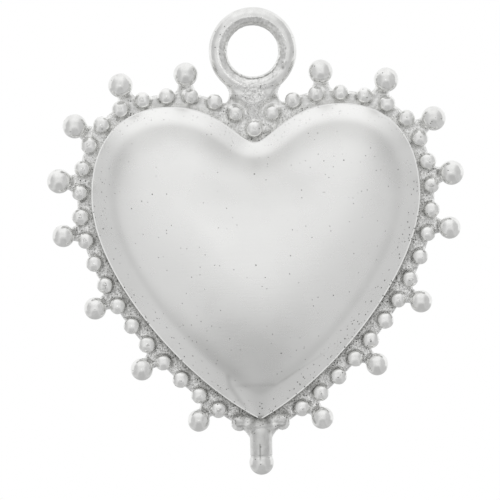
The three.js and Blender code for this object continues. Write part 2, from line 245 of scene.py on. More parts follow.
dome_anchors = dict(
    notch=np.array([0, crown_z - NOTCH_DEPTH]),
    crown=np.array([LOBE_SPREAD / 2, crown_z]),
    widest=np.array([HEART_WIDTH / 2, crown_z - WIDEST_DROP]),
    tip=np.array([0, crown_z - HEART_HEIGHT]),
)
rim_anchors = dict(
    notch=dome_anchors["notch"] + [0, granule_radius + NOTCH_GAP],
    crown=np.array([LOBE_SPREAD / 2 - RIM_CROWN_SHIFT, rim_crown_z]),
    widest=dome_anchors["widest"] + [granule_radius + SIDE_GAP, -RIM_WIDEST_SHIFT],
    tip=dome_anchors["tip"] - [0, granule_radius + TIP_GAP],
)


# Curves in the plane of the plate, as x and z

def cubic(a, b, c, d, steps=400):
    t = np.linspace(0, 1, steps)[:, None]
    return (1 - t) ** 3 * a + 3 * (1 - t) ** 2 * t * b + 3 * (1 - t) * t ** 2 * c + t ** 3 * d


def even_steps(points, count):
    lengths = np.hypot(*np.diff(points, axis=0).T)
    along = np.concatenate([[0], np.cumsum(lengths)])
    places = np.linspace(0, along[-1], count)
    return np.stack([np.interp(places, along, points[:, k]) for k in (0, 1)], axis=1)


def half_heart(anchors, curve, count):
    """One side, from the notch over the lobe to the tip, in equal steps."""
    notch, crown, widest, tip = (anchors[k] for k in ("notch", "crown", "widest", "tip"))
    across = np.array([1.0, 0.0])
    up = np.array([0.0, 1.0])
    angle = math.radians(curve["tip_angle"])
    reach = np.hypot(*(widest - tip)) * curve["tip"]
    inner = cubic(
        notch, notch + across * crown[0] * curve["notch"],
        crown - across * crown[0] * curve["crown_in"], crown,
    )
    shoulder = cubic(
        crown, crown + across * (widest[0] - crown[0]) * curve["crown_out"],
        widest + up * (crown[1] - widest[1]) * curve["shoulder"], widest,
    )
    flank = cubic(
        widest, widest - up * (widest[1] - tip[1]) * curve["flank"],
        tip + reach * np.array([math.cos(angle), math.sin(angle)]), tip,
    )
    return even_steps(np.vstack([inner, shoulder[1:], flank[1:]]), count)


def mirrored(right):
    return np.vstack([right, (right * [-1, 1])[-2:0:-1]])


def outward(points):
    tangent = np.gradient(points, axis=0)
    tangent /= np.hypot(*tangent.T)[:, None]
    return np.stack([-tangent[:, 1], tangent[:, 0]], axis=1)


def whole_line(half):
    """Points of both sides of a line, and its outward normals."""
    return mirrored(half), mirrored(outward(half))


def from_segment(points, a, b):
    along = np.clip(((points - a) @ (b - a)) / ((b - a) @ (b - a)), 0, 1)
    return np.hypot(*(points - a - along[:, None] * (b - a)).T)


def from_line(points, whole):
    """Distance from a whole line, more than 0 on the side of its normals."""
    line, normals = whole
    found = []
    for part in np.array_split(points, max(1, len(points) // 2000)):
        squares = ((part[:, None, :] - line[None]) ** 2).sum(axis=2)
        best = squares.argmin(axis=1)
        side = ((part - line[best]) * normals[best]).sum(axis=1)
        found.append(np.sqrt(squares.min(axis=1)) * np.sign(side))
    return np.concatenate(found)


rim_half = half_heart(rim_anchors, RIM_CURVE, RIM_SAMPLES)
rim_normals = outward(rim_half)
rim_line = whole_line(rim_half[::4])
dome_line = whole_line(half_heart(dome_anchors, DOME_CURVE, 400))


def on_rim(place):
    share = place / LAST_PLACE * (RIM_SAMPLES - 1)
    index = np.arange(RIM_SAMPLES)
    point = np.array([np.interp(share, index, rim_half[:, k]) for k in (0, 1)])
    normal = np.array([np.interp(share, index, rim_normals[:, k]) for k in (0, 1)])
    return point, normal


# Places of the granules, balls and drop

granules = {"cleft_granule": [rim_anchors["notch"]]}
balls = {}
stems = []
for word, side in (("left", -1), ("right", 1)):
    flip = np.array([side, 1])
    for place in SINGLES:
        granules[f"granule_{word}_{place:02d}"] = [on_rim(place)[0] * flip]
    for number, place in enumerate(PAIRS, start=1):
        pair = [on_rim(place)[0] * flip, on_rim(place + 1)[0] * flip]
        granules[f"granule_pair_{word}_{number}"] = pair
        diameter = UPPER_BALL_DIAMETER if number <= UPPER_BALLS else LOWER_BALL_DIAMETER
        root, normal = on_rim(place + (FIRST_BALL_PLACE if number == 1 else BALL_PLACE))
        centre = (root + normal * (granule_radius + diameter / 2 + BALL_GAP)) * flip
        balls[f"ball_{word}_{number}"] = (centre, diameter / 2)
        stems.append((root * flip, centre))
granule_centres = [centre for group in granules.values() for centre in group]
last_granule = on_rim(SINGLES[-1])[0]
drop_top_z = last_granule[1] - granule_radius - DROP_GAP
drop_end_z = drop_top_z - DROP_LENGTH + DROP_END / 2


# Soft steps, bells and noise

def ease(value, low, high):
    """Eases from 0 at low to 1 at high."""
    share = np.clip((value - low) / (high - low), 0, 1)
    return share * share * (3 - 2 * share)


def bell(value, width):
    """1 at 0, fading on both sides."""
    return np.exp(-(value / width) ** 2)


def rough(point, size, seed):
    """Smooth noise of about one unit, for bumps of one size in millimetres."""
    return noise.noise(Vector(point) / size + Vector((seed, 2.7 * seed, -1.3 * seed)))


def roughs(places, size, seed):
    return np.array([rough(place, size, seed) for place in places])


# Meshes

def flat_mesh(name, points, faces):
    """A mesh of points in millimetres."""
    mesh = bpy.data.meshes.new(name)
    mesh.from_pydata((np.asarray(points) * MM).tolist(), [], faces)
    mesh.update()
    return mesh


def finished(whole, name):
    """A mesh from one under construction."""
    mesh = bpy.data.meshes.new(name)
    whole.to_mesh(mesh)
    whole.free()
    return mesh


def paint(mesh, name, value):
    """Gives a mesh a value at each point, worked out from the points' places."""
    places = np.empty(3 * len(mesh.vertices))
    mesh.vertices.foreach_get("co", places)
    found = value(places.reshape(-1, 3) / MM).astype(np.float32)
    mesh.attributes.new(name, "FLOAT", "POINT").data.foreach_set("value", found)


def piece(name, mesh, material, nodes, grime_and_shade, sharp=45):
    """Puts a mesh in the scene as the finished surface of some nodes."""
    whole = bmesh.new()
    whole.from_mesh(mesh)
    bmesh.ops.recalc_face_normals(whole, faces=whole.faces)
    whole.to_mesh(mesh)
    whole.free()
    mesh.shade_smooth()
    mesh.set_sharp_from_angle(angle=math.radians(sharp))
    mesh.materials.append(material)
    # the shaders darken by this value: dirt and painted shade, from 0 to 1, at each point
    paint(mesh, "grime_and_shade", grime_and_shade)
    made = bpy.data.objects.new(name, mesh)
    bpy.context.collection.objects.link(made)
    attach(made, "root")
    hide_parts(*nodes)
    return made


def band(start, count, to):
    """Faces between two closed rings of points."""
    return [(start + i, start + (i + 1) % count, to + (i + 1) % count, to + i) for i in range(count)]


def closed(rings, count):
    """Faces of a row of rings, with one point past the last ring and one before the first."""
    faces = []
    for ring in range(rings - 1):
        faces += band(ring * count, count, (ring + 1) * count)
    last = (rings - 1) * count
    for i in range(count):
        k = (i + 1) % count
        faces.append((last + i, last + k, rings * count))
        faces.append((k, i, rings * count + 1))
    return faces


# Materials

def node(tree, kind, inputs=None, **settings):
    made = tree.nodes.new(kind)
    for key, value in settings.items():
        setattr(made, key, value)
    for key, value in (inputs or {}).items():
        if isinstance(value, bpy.types.NodeSocket):
            tree.links.new(value, made.inputs[key])
        else:
            made.inputs[key].default_value = value
    return made


def in_millimetres(tree, stretch=(1, 1, 1)):
    place = node(tree, "ShaderNodeTexCoord").outputs["Object"]
    scale = tuple(s / MM for s in stretch)
    return node(tree, "ShaderNodeMapping", {"Vector": place, "Scale": scale}).outputs["Vector"]


def cloud(tree, place, per_mm, detail=2.0, roughness=0.5):
    return node(tree, "ShaderNodeTexNoise", {
        "Vector": place, "Scale": per_mm, "Detail": detail, "Roughness": roughness,
    }).outputs["Fac"]


def graded(tree, value, low, high, to_low, to_high):
    """Turns a value from low to high softly into one from to_low to to_high."""
    return node(tree, "ShaderNodeMapRange", {
        "Value": value, "From Min": low, "From Max": high, "To Min": to_low, "To Max": to_high,
    }, interpolation_type="SMOOTHSTEP").outputs["Result"]


def math_node(tree, operation, first, *others):
    """Values combined one after the other."""
    for other in others:
        first = node(tree, "ShaderNodeMath", {0: first, 1: other}, operation=operation).outputs[0]
    return first


def silver(tone):
    return (tone, tone, tone - WARMTH, 1)


def mixed(tree, share, color, other):
    """A colour that turns into the other one as the share goes from 0 to 1."""
    return node(tree, "ShaderNodeMix", {0: share, 6: color, 7: other}, data_type="RGBA").outputs[2]


def soiled_and_shaded(tree, dirt_and_shade, holes, tones):
    """Colour of silver with dirt and painted shade on it and holes in it."""
    clean, dirty, pit = (silver(tone) for tone in tones)
    return mixed(tree, holes, mixed(tree, dirt_and_shade, clean, dirty), pit)


def pits(tree, place, per_mm, share, size):
    """1 inside scattered pits, 0 between them: share is the part of the cells that hold one."""
    cells = node(tree, "ShaderNodeTexVoronoi", {"Vector": place, "Scale": per_mm})
    chance = node(tree, "ShaderNodeSeparateColor", {"Color": cells.outputs["Color"]}).outputs["Red"]
    held = graded(tree, chance, 1 - share - 0.02, 1 - share, 0, 1)
    inside = graded(tree, cells.outputs["Distance"], size * per_mm * 0.5, size * per_mm, 1, 0)
    return math_node(tree, "MULTIPLY", held, inside)


def bumped(tree, layers, strength=1.0):
    """Chains bumps: each layer is a height from 0 to 1 and its depth in millimetres."""
    normal = None
    for height, depth in layers:
        inputs = {"Height": height, "Distance": abs(depth) * MM, "Strength": strength}
        if normal is not None:
            inputs["Normal"] = normal
        normal = node(tree, "ShaderNodeBump", inputs, invert=depth < 0).outputs["Normal"]
    return normal


def painted(tree, name):
    """A value that a mesh carries at its points."""
    return node(tree, "ShaderNodeAttribute", attribute_name=name).outputs["Fac"]


def new_material(name):
    material = bpy.data.materials.new(name)
    material.use_nodes = True
    return material, material.node_tree


def metal(material, color, roughness, normal):
    """Makes a material a metal with this finish."""
    tree = material.node_tree
    inputs = tree.nodes["Principled BSDF"].inputs
    inputs["Metallic"].default_value = 1.0
    tree.links.new(color, inputs["Base Color"])
    tree.links.new(roughness, inputs["Roughness"])
    tree.links.new(normal, inputs["Normal"])
    return material


def satin_silver():
    """The dome: brushed, with pits in clusters, specks along its edge and scratches."""
    material, tree = new_material("satin_silver")
    place = in_millimetres(tree)
    strokes = cloud(tree, in_millimetres(tree, (0.35, 1, 5)), 1.0, 3)
    grain = cloud(tree, place, 7.0)
    mottle = cloud(tree, place, 0.3, 3)
    clusters = graded(tree, cloud(tree, place, 0.16), 0.42, 0.56, 0.0, 1.0)
    patches = graded(tree, cloud(tree, place, 0.45), 0.34, 0.48, 0.0, 1.0)
    scattered = pits(tree, place, per_mm=0.75, share=0.25, size=0.095)
    crowded = math_node(tree, "MULTIPLY", pits(tree, place, per_mm=1.8, share=0.4, size=0.07), clusters)
    specks = pits(tree, place, per_mm=2.4, share=0.6, size=0.1)
    specks = math_node(tree, "MULTIPLY", specks, patches, painted(tree, "specks"))
    holes = math_node(tree, "MAXIMUM", scattered, crowded, specks)
    scratches = pits(tree, in_millimetres(tree, (0.25, 1, 1.5)), per_mm=0.9, share=0.2, size=0.07)
    dirt_and_shade = math_node(tree, "ADD", painted(tree, "grime_and_shade"), graded(tree, mottle, 0.3, 0.7, -0.03, 0.05))
    color = soiled_and_shaded(tree, dirt_and_shade, holes, SATIN_TONES)
    color = mixed(tree, math_node(tree, "MULTIPLY", scratches, 0.5), color, silver(SCRATCH_TONE))
    roughness = graded(tree, mottle, 0.3, 0.7, 0.3, 0.26)
    normal = bumped(tree, [(strokes, 0.007), (grain, 0.003), (scratches, -0.02), (holes, -0.08)])
    return metal(material, color, roughness, normal)


def polished_silver():
    """Ring, granules, balls and drop: bright, a little mottled and pitted, softer where it has flowed."""
    material, tree = new_material("polished_silver")
    place = in_millimetres(tree)
    mottle = cloud(tree, place, 1.1, 3)
    grain = cloud(tree, place, 8.0)
    holes = pits(tree, place, per_mm=1.6, share=0.3, size=0.09)
    dirt_and_shade = math_node(tree, "ADD", painted(tree, "grime_and_shade"), graded(tree, mottle, 0.3, 0.7, -0.1, 0.1))
    color = soiled_and_shaded(tree, dirt_and_shade, holes, POLISHED_TONES)
    softened = graded(tree, painted(tree, "flowed"), 0, 1, 0, 0.25)
    roughness = math_node(tree, "ADD", graded(tree, mottle, 0.3, 0.7, 0.11, 0.06), softened)
    normal = bumped(tree, [(mottle, 0.02), (grain, 0.009), (holes, -0.06)])
    return metal(material, color, roughness, normal)


def dull_silver():
    """The plate: speckled, lumpy solder, and brushed where the metal is smooth."""
    material, tree = new_material("dull_silver")
    place = in_millimetres(tree)
    grime_and_shade = painted(tree, "grime_and_shade")
    smooth = painted(tree, "flowed")
    unevenness = cloud(tree, place, 1.5, 3, 0.6)
    grain = cloud(tree, place, 5.5, 3, 0.7)
    strokes = cloud(tree, in_millimetres(tree, (0.3, 1, 4)), 1.2, 3)
    clusters = graded(tree, cloud(tree, place, 0.5), 0.45, 0.6, 0.0, 1.0)
    crowded = math_node(tree, "MAXIMUM", clusters, graded(tree, grime_and_shade, 0.05, 0.3, 0, 1))
    holes = math_node(tree, "MULTIPLY", pits(tree, place, per_mm=3.4, share=0.45, size=0.09), crowded)
    speckle = graded(tree, grain, 0.38, 0.6, 0.62, -0.05)
    patchy = graded(tree, clusters, 0, 1, 0, 0.1)
    brushed = math_node(tree, "ADD", graded(tree, strokes, 0.3, 0.7, 0.4, 0.2), patchy)
    finish = node(tree, "ShaderNodeMix", {0: smooth, 2: speckle, 3: brushed}).outputs[0]
    dirt_and_shade = math_node(tree, "ADD", grime_and_shade, finish)
    color = soiled_and_shaded(tree, dirt_and_shade, holes, DULL_TONES)
    roughness = graded(tree, unevenness, 0.3, 0.7, 0.4, 0.25)
    strength = graded(tree, smooth, 0, 1, 1, 0.2)
    normal = bumped(tree, [(unevenness, 0.08), (grain, 0.05), (holes, -0.08)], strength)
    return metal(material, color, roughness, normal)


SATIN = satin_silver()
POLISHED = polished_silver()
DULL = dull_silver()


# Heart dome

def edge_distance(points, edge):
    """Distance from the edge, smoothed so that it has no ridge along the middle."""
    following = np.roll(edge, -1, axis=0)
    middles = (edge + following) / 2
    lengths = np.hypot(*(following - edge).T)
    found = []
    for part in np.array_split(points, max(1, len(points) // 3000)):
        squares = ((part[:, None, :] - middles[None]) ** 2).sum(axis=2)
        found.append(np.cbrt(math.pi / 2 / (lengths / squares ** 2).sum(axis=1)))
    return np.concatenate(found)


def lower(a, b, softness):
    """The lower of two heights, with a soft fold between them."""
    return -softness * np.log(np.exp(-a / softness) + np.exp(-b / softness))


def puffed(distance, reach, height, foot, start, crease):
    """Height of the dome at a distance from its edge: a bevel, then the crown."""
    bevel = foot + distance * math.tan(math.radians(BEVEL_ANGLE))
    crown = start + (height - start) * (1 - np.abs(1 - distance / reach) ** CROWN_POWER)
    return lower(bevel, crown, crease)


def burnished(distance, rise):
    """Turns the dome's edge out into a narrow flat lip with a rounded corner."""
    lip = DOME_FOOT + DOME_LIP * math.tan(math.radians(BEVEL_ANGLE))
    inward = 1 - np.clip(distance / LIP_CORNER, 0, 1)
    rounded = lip - LIP_CORNER * (1 - np.sqrt(1 - inward ** 2))
    return np.where(distance < DOME_LIP, rounded, rise)


def tip_facet(rise, x, z):
    """Cuts the dome by the rounded facet at its tip; also finds the painted shade along its end and left
    side.
    """
    up = np.maximum(z - dome_anchors["tip"][1], 0)
    fall = np.where(x < 0, TIP_FALL_LEFT, TIP_FALL_RIGHT) * (np.hypot(x, TIP_ROUND) - TIP_ROUND)
    facet = DOME_FOOT + TIP_START + TIP_SLOPE * up - fall
    depth = rise - facet
    past_end = up - TIP_LENGTH - TIP_CLIMB * np.maximum(x - TIP_SIDE, 0)
    facet = facet + ease(past_end, 0.0, TIP_LEDGE)
    fold_shade = TIP_END_SHADE * bell(past_end - 0.1, 0.14) * ease(depth, 0.0, 0.08)
    for start, end in zip(TIP_LINE, TIP_LINE[1:]):
        aside = from_segment(np.stack([x, z], axis=1), np.array(start), np.array(end))
        fold_shade = np.maximum(fold_shade, TIP_LINE_SHADE * bell(aside, 0.3))
    return lower(rise, facet, TIP_FOLD), fold_shade


def heart_skin(outline, edge, middle, depth, height, rings, foot, start, crease):
    """Rings of points from the outline up to the middle of the dome, and their distances from the edge.

    Close to the edge, the distance is measured square to it: depth is how far it lies from the middle.
    """
    reach = edge_distance(middle[None], edge)[0]
    made = []
    distances = []
    for shrink in rings:
        flat = middle + (outline - middle) * shrink
        distance = (1 - shrink) * depth
        far = ease(distance, 0.15, 0.6)
        if far.any():
            smoothed = np.where(far > 0, edge_distance(flat, edge), distance)
            distance = distance + far * (smoothed - distance)
        rise = puffed(distance, reach, height, foot, start, crease)
        made.append(np.stack([flat[:, 0], front_y - rise, flat[:, 1]], axis=1))
        distances.append(distance)
    return made, distances


def crease_shade_and_patina(distance, upward, x):
    """Painted shade along the crease, partly patina: broad over the lobes, a thin line down the flanks, wider
    low on the left.
    """
    strength = 0.1 + 0.45 * np.clip(upward, 0, 1) + 0.12 * np.clip(-upward, 0, 1)
    over_lobes = ease(upward, -0.3, 0.5)
    past = distance - CREASE_PLACE
    line = strength * bell(past, np.where(past < 0, 0.35 + 0.35 * over_lobes, 0.7 + over_lobes))
    low_left = 0.24 * ease(-upward, 0.45, 0.75) * ease(-x, 0.5, 3.5)
    return line + low_left * bell(past - 0.7, 0.9)


def dome_patch_shade(places):
    """Painted shade: a soft dark patch above the tip, standing for a dark reflection there, and a fainter one
    under the notch.
    """
    x, _, z = places.T
    low = np.hypot((x + 1.2) / 9.0, (z + 36.5) / 6.5)
    high = np.hypot((x - 0.8) / 9.5, (z + 15.2) / 5.0)
    return 0.4 * (1 - ease(low, 0.0, 1.4)) + 0.34 * (1 - ease(high, 0.0, 1.0))


def build_dome():
    # Rings of points, as shares of the way from the middle to the edge; the first ones make the lip
    lip_rings = 1 - np.linspace(0, 0.014, 15)
    outer_rings = np.concatenate([lip_rings, 1 - np.linspace(0.03, 1, 84)[:-1] ** 1.15])
    inner_rings = 1 - np.linspace(0, 1, 25)[:-1] ** 1.25

    half = half_heart(dome_anchors, DOME_CURVE, DOME_STEPS + 1)
    fine = mirrored(half_heart(dome_anchors, DOME_CURVE, 2 * DOME_STEPS + 1))
    outline = mirrored(half)
    middle = np.array([0, sum(dome_anchors[k][1] for k in ("notch", "widest", "tip")) / 3])
    normals = outward(half)
    normals[-1] = (0, -1)
    away = half - middle
    depth = (away * normals).sum(axis=1)
    inset = mirrored(middle + away * (1 - DOME_WALL / depth)[:, None])
    depth = np.concatenate([depth, depth[-2:0:-1]])
    upward = mirrored(normals)[:, 1]

    outer, distances = heart_skin(
        outline, fine, middle, depth, DOME_HEIGHT, outer_rings, DOME_FOOT, CROWN_START,
        FLANK_CREASE + (CREASE - FLANK_CREASE) * ease(upward, -0.1, 0.6),
    )
    crease_and_fold_shade = []
    specks = []
    flanks = 0.25 + 0.75 * ease(-upward, -0.4, 0.1)
    for ring, distance in zip(outer, distances):
        rise, fold_shade = tip_facet(front_y - ring[:, 1], ring[:, 0], ring[:, 2])
        rise = burnished(distance, rise)
        waver = DOME_WAVER * roughs(ring, WAVER_SIZE, seed=0.0) * ease(distance, 0.5, 2.0)
        ring[:, 1] = front_y - np.minimum(rise - waver, DOME_HEIGHT)
        crease_and_fold_shade.append(crease_shade_and_patina(distance, upward, ring[:, 0]) + fold_shade * ease(distance, 0.2, 0.6))
        specks.append(flanks * (1 - ease(distance, 0.9, 2.2)))

    bevel = math.radians(BEVEL_ANGLE)
    inner_foot = DOME_FOOT + DOME_WALL * (math.tan(bevel) - 1 / math.cos(bevel))
    inner, _ = heart_skin(
        inset, inset, middle, depth - DOME_WALL, DOME_HEIGHT - DOME_WALL, inner_rings, inner_foot,
        CROWN_START - DOME_WALL, CREASE,
    )
    feet = [np.array(inner[0]), np.array(outer[0])]
    for foot in feet:
        foot[:, 1] = front_y + DOME_SEAT

    # From the middle of the inside, down under the foot and up to the middle of the outside
    count = len(outline)
    rings = [*reversed(inner), *feet, *outer]
    top_y = front_y - DOME_HEIGHT
    points = np.vstack([*rings, [[0, top_y, middle[1]], [0, top_y + DOME_WALL, middle[1]]]])
    before = np.zeros((len(rings) - len(outer)) * count)
    after = np.zeros(2)
    mesh = flat_mesh("heart_dome_skin", points, closed(len(rings), count))
    paint(mesh, "specks", lambda places: np.concatenate([before, *specks, after]))
    piece(
        "heart_dome_skin", mesh, SATIN, ["heart_dome"],
        lambda places: np.concatenate([before, *crease_and_fold_shade, after]) + dome_patch_shade(places),
    )


build_dome()


# Plate, with the solder that has run between everything on it

def melted(a, b, radius):
    """The nearer of two distances, with the corner between them filled."""
    share = np.clip(0.5 + 0.5 * (b - a) / radius, 0, 1)
    return b + (a - b) * share - radius * share * (1 - share)


def neck_distance(points):
    """How far outside the neck; less than 0 on it."""
    x, z = points.T
    spread = np.clip((NECK_SPREAD_Z - z) / NECK_SPREAD_LENGTH, 0, 1)
    side = np.abs(x) - (NECK_HALF_WIDTH + NECK_SPREAD * spread)
    return np.maximum(np.maximum(side, z + ring_radius), NECK_END_Z - z)


def outline_distance(points):
    """How far outside the plate's melted outline; less than 0 on the plate."""
    x, z = points.T
    from_centre = np.hypot(x, z)
    found = from_line(points, rim_line) - PLATE_LIP
    for centre in granule_centres:
        found = melted(found, np.hypot(*(points - centre).T) - GRANULE_TAB * granule_radius, TAB_BLEND)
    found = melted(found, neck_distance(points), SOLDER_BLEND)
    for (root, centre), (_, radius) in zip(stems, balls.values()):
        found = melted(found, from_segment(points, root, centre) - BALL_TAB * radius, SOLDER_BLEND)
    wire = np.abs(from_centre - ring_radius) - RING_TAB * RING_WIRE
    above = z - RING_TAB_Z + RING_TAB_BOW * x ** 2
    found = melted(found, np.maximum(wire, above), SOLDER_BLEND)
    found = np.maximum(found, RING_HOLE / 2 + RING_TAB_GAP - from_centre)
    drop = from_segment(points, np.array([0, drop_top_z + 0.5]), np.array([0, drop_end_z]))
    return melted(found, drop - DROP_TAB * DROP_STEM, DROP_BLEND)


def solder_height(points):
    """Height above the plate of solder that has run round everything on it, found from above."""
    granule_middle = granule_squash * (granule_radius - GRANULE_FOOT)
    stuck = [(centre, granule_radius, granule_middle) for centre in granule_centres]
    stuck += [(centre, radius, radius - BALL_FOOT) for centre, radius in balls.values()]
    stuck.append((BEAD_PLACE, BEAD_RADIUS, BEAD_RADIUS))

    def post(away, radius, upright, sink=0.0):
        near = np.nonzero(away < radius + 5 * SOLDER_FLOW)[0]
        return near, away[near], radius - sink, upright

    posts = [
        post(np.hypot(*(points - centre).T), radius, SOLDER_CLIMB * middle, SINK)
        for centre, radius, middle in stuck
    ]

    # Runs of solder at the drop: both ends, radius, and the height up to which they are upright
    top = np.array([0, drop_top_z])
    opposite = last_granule * [-1, 1]
    runs = [
        (top, np.array([0, drop_end_z]), DROP_STEM / 2 - 0.35, 0.5),
        (opposite, top - [0, 1.3], 0.75, 0.25),
        (last_granule, top - [0, 1.3], 0.75, 0.25),
        (top + [0, 0.3], top - [0, 0.6], DROP_STEM / 2 - SINK, 0.8),
        (last_granule, opposite, 0.6, 0.2),
    ]
    posts += [post(from_segment(points, a, b), radius, upright) for a, b, radius, upright in runs]

    x, z = points.T
    around = np.hypot(x, z) - ring_radius
    ramp = ease(z, NECK_FOOT_Z - NECK_SLOPE, NECK_FOOT_Z)
    wide = NECK_STRIP + (NECK_HALF_WIDTH - NECK_STRIP) * ease(z, *NECK_STRIP_Z)
    beside = np.maximum(neck_distance(points), np.abs(x) - wide)
    neck_top = NECK_HEIGHT * ramp * ease(-beside, -0.4, 1.1)
    filled = TIP_FILL * ease(-z, 40.5, 43.5) * (1 - ease(np.abs(x), 1.6, 3.8))

    height = np.full(len(points), SOLDER_TOP)
    for _ in range(40):
        total = np.exp((filled - height) / SOLDER_FLOW)
        for near, away, radius, upright in posts:
            gap = np.hypot(away, np.maximum(height[near] - upright, 0)) - radius
            total[near] += np.exp(-gap / SOLDER_FLOW)
        ring = np.hypot(around, height - front_y) - RING_WIRE / 2 + SINK
        neck = np.maximum(beside - 0.4, height - neck_top)
        total += np.exp(-ring / SOLDER_FLOW) + np.exp(-neck / SOLDER_FLOW) * np.minimum(neck_top / 0.5, 1)
        height = height + SOLDER_FLOW * np.log(total)
    return height


def lumps(points):
    """Unevenness of the solder: most in the middle of the neck, little round the drop."""
    x, z = points.T
    places = np.stack([x, 0 * x, z], axis=1)
    coarse = roughs(places, size=0.75, seed=1.0)
    fine = roughs(places, size=0.32, seed=5.0)
    found = 0.05 * coarse + 0.05 * fine - 0.25 * np.maximum(fine - 0.4, 0)
    crusted = (np.abs(x) < 1.5) & (z > -6.5)
    found = found + 0.12 * fine * crusted
    smooth = (1 - ease(np.abs(x), 1.2, 3.0)) * ease(-z, 44.5, 46.0)
    return found * (1 - 0.9 * smooth)


def plate_shade_and_grime(places):
    """Painted shade in the crevice along the dome; round the granules and balls, painted light with patches
    of painted shade; darker towards the bottom, lighter near the top.
    """
    flat = places[:, [0, 2]]
    low = ease(-places[:, 2], *DARKER_PART)
    from_dome = from_line(flat, dome_line)
    crevice = (0.1 + 0.25 * low) * bell(from_dome, 0.16) + (0.02 + 0.26 * low) * bell(from_dome, 0.8)
    feet = np.zeros(len(places))
    rounds = [(centre, granule_radius) for centre in granule_centres] + list(balls.values())
    for centre, radius in rounds:
        feet = np.maximum(feet, bell(np.hypot(*(flat - centre).T) - radius, 0.3))
    patches = ease(roughs(places, size=0.9, seed=3.0), 0.0, 0.35)
    lighter_top = 0.12 * (1 - ease(-places[:, 2], *LIGHTER_PART))
    dirt_and_shade = crevice + feet * (0.5 * patches - 0.3) + 0.1 * low - lighter_top
    return dirt_and_shade * (places[:, 1] < front_y + 0.1)


def plate_flow(places):
    """1 where the plate is smooth: round the drop, at both sides of the neck and on the back."""
    x, y, z = places.T
    away = np.abs(x)
    tip = (1 - ease(away, 3.2, 4.2)) * ease(-z, 43.6, 44.6)
    neck = ease(away, 1.2, 1.6) * ease(-z, 4.0, 4.6) * (1 - ease(-z, 6.4, 7.4))
    back = 0.9 * ease(y, back_y - 0.3, back_y - 0.1)
    return np.maximum(np.maximum(tip, neck), back)


def plate_grid():
    """Points and square faces of the plate's front, from just under the dome to its outline."""
    x = np.arange(-25.2, 25.2, GRID_STEP)
    z = np.arange(-51.2, -2.4, GRID_STEP)
    field = np.stack(np.meshgrid(x, z, indexing="ij"), axis=2)
    centres = (field[:-1, :-1] + field[1:, 1:]) / 2
    flat = centres.reshape(-1, 2)
    near = from_line(flat, [part[::8] for part in rim_line])
    close = (near > -3.2) & (near < 6.5)
    keep = np.zeros(len(flat), bool)
    part = flat[close]
    keep[close] = (outline_distance(part) < 0) & (from_line(part, dome_line) > -0.8)
    keep = keep.reshape(centres.shape[:2])
    number = -np.ones(field.shape[:2], int)
    faces = []
    points = []

    def index(i, k):
        if number[i, k] < 0:
            number[i, k] = len(points)
            points.append(field[i, k])
        return int(number[i, k])

    for i, k in zip(*np.nonzero(keep)):
        faces.append((index(i, k), index(i + 1, k), index(i + 1, k + 1), index(i, k + 1)))
    return np.array(points), faces


def border_loops(faces):
    """Closed loops of the points along the open edges, the longest first."""
    following = {}
    edges = {(a, b) for face in faces for a, b in zip(face, face[1:] + face[:1])}
    for a, b in edges:
        if (b, a) not in edges:
            following.setdefault(a, []).append(b)
    loops = []
    while following:
        start = next(iter(following))
        loop = [start]
        while True:
            onward = following[loop[-1]].pop()
            if not following[loop[-1]]:
                del following[loop[-1]]
            if onward == start:
                break
            loop.append(onward)
        loops.append(loop)
    return sorted(loops, key=len, reverse=True)


def outline_slope(points, step=0.02):
    """Direction straight out of the plate's outline."""
    across = np.array([step, 0])
    up = np.array([0, step])
    slope = np.stack([
        outline_distance(points + across) - outline_distance(points - across),
        outline_distance(points + up) - outline_distance(points - up),
    ], axis=1)
    return slope / np.maximum(np.hypot(*slope.T), 1e-9)[:, None]


def onto_outline(loop, rounds=4):
    """Evens out a loop of points and draws it onto the outline."""
    for _ in range(rounds):
        loop = (np.roll(loop, 1, axis=0) + 2 * loop + np.roll(loop, -1, axis=0)) / 4
        for _ in range(2):
            loop = loop - outline_slope(loop) * outline_distance(loop)[:, None]
    return loop


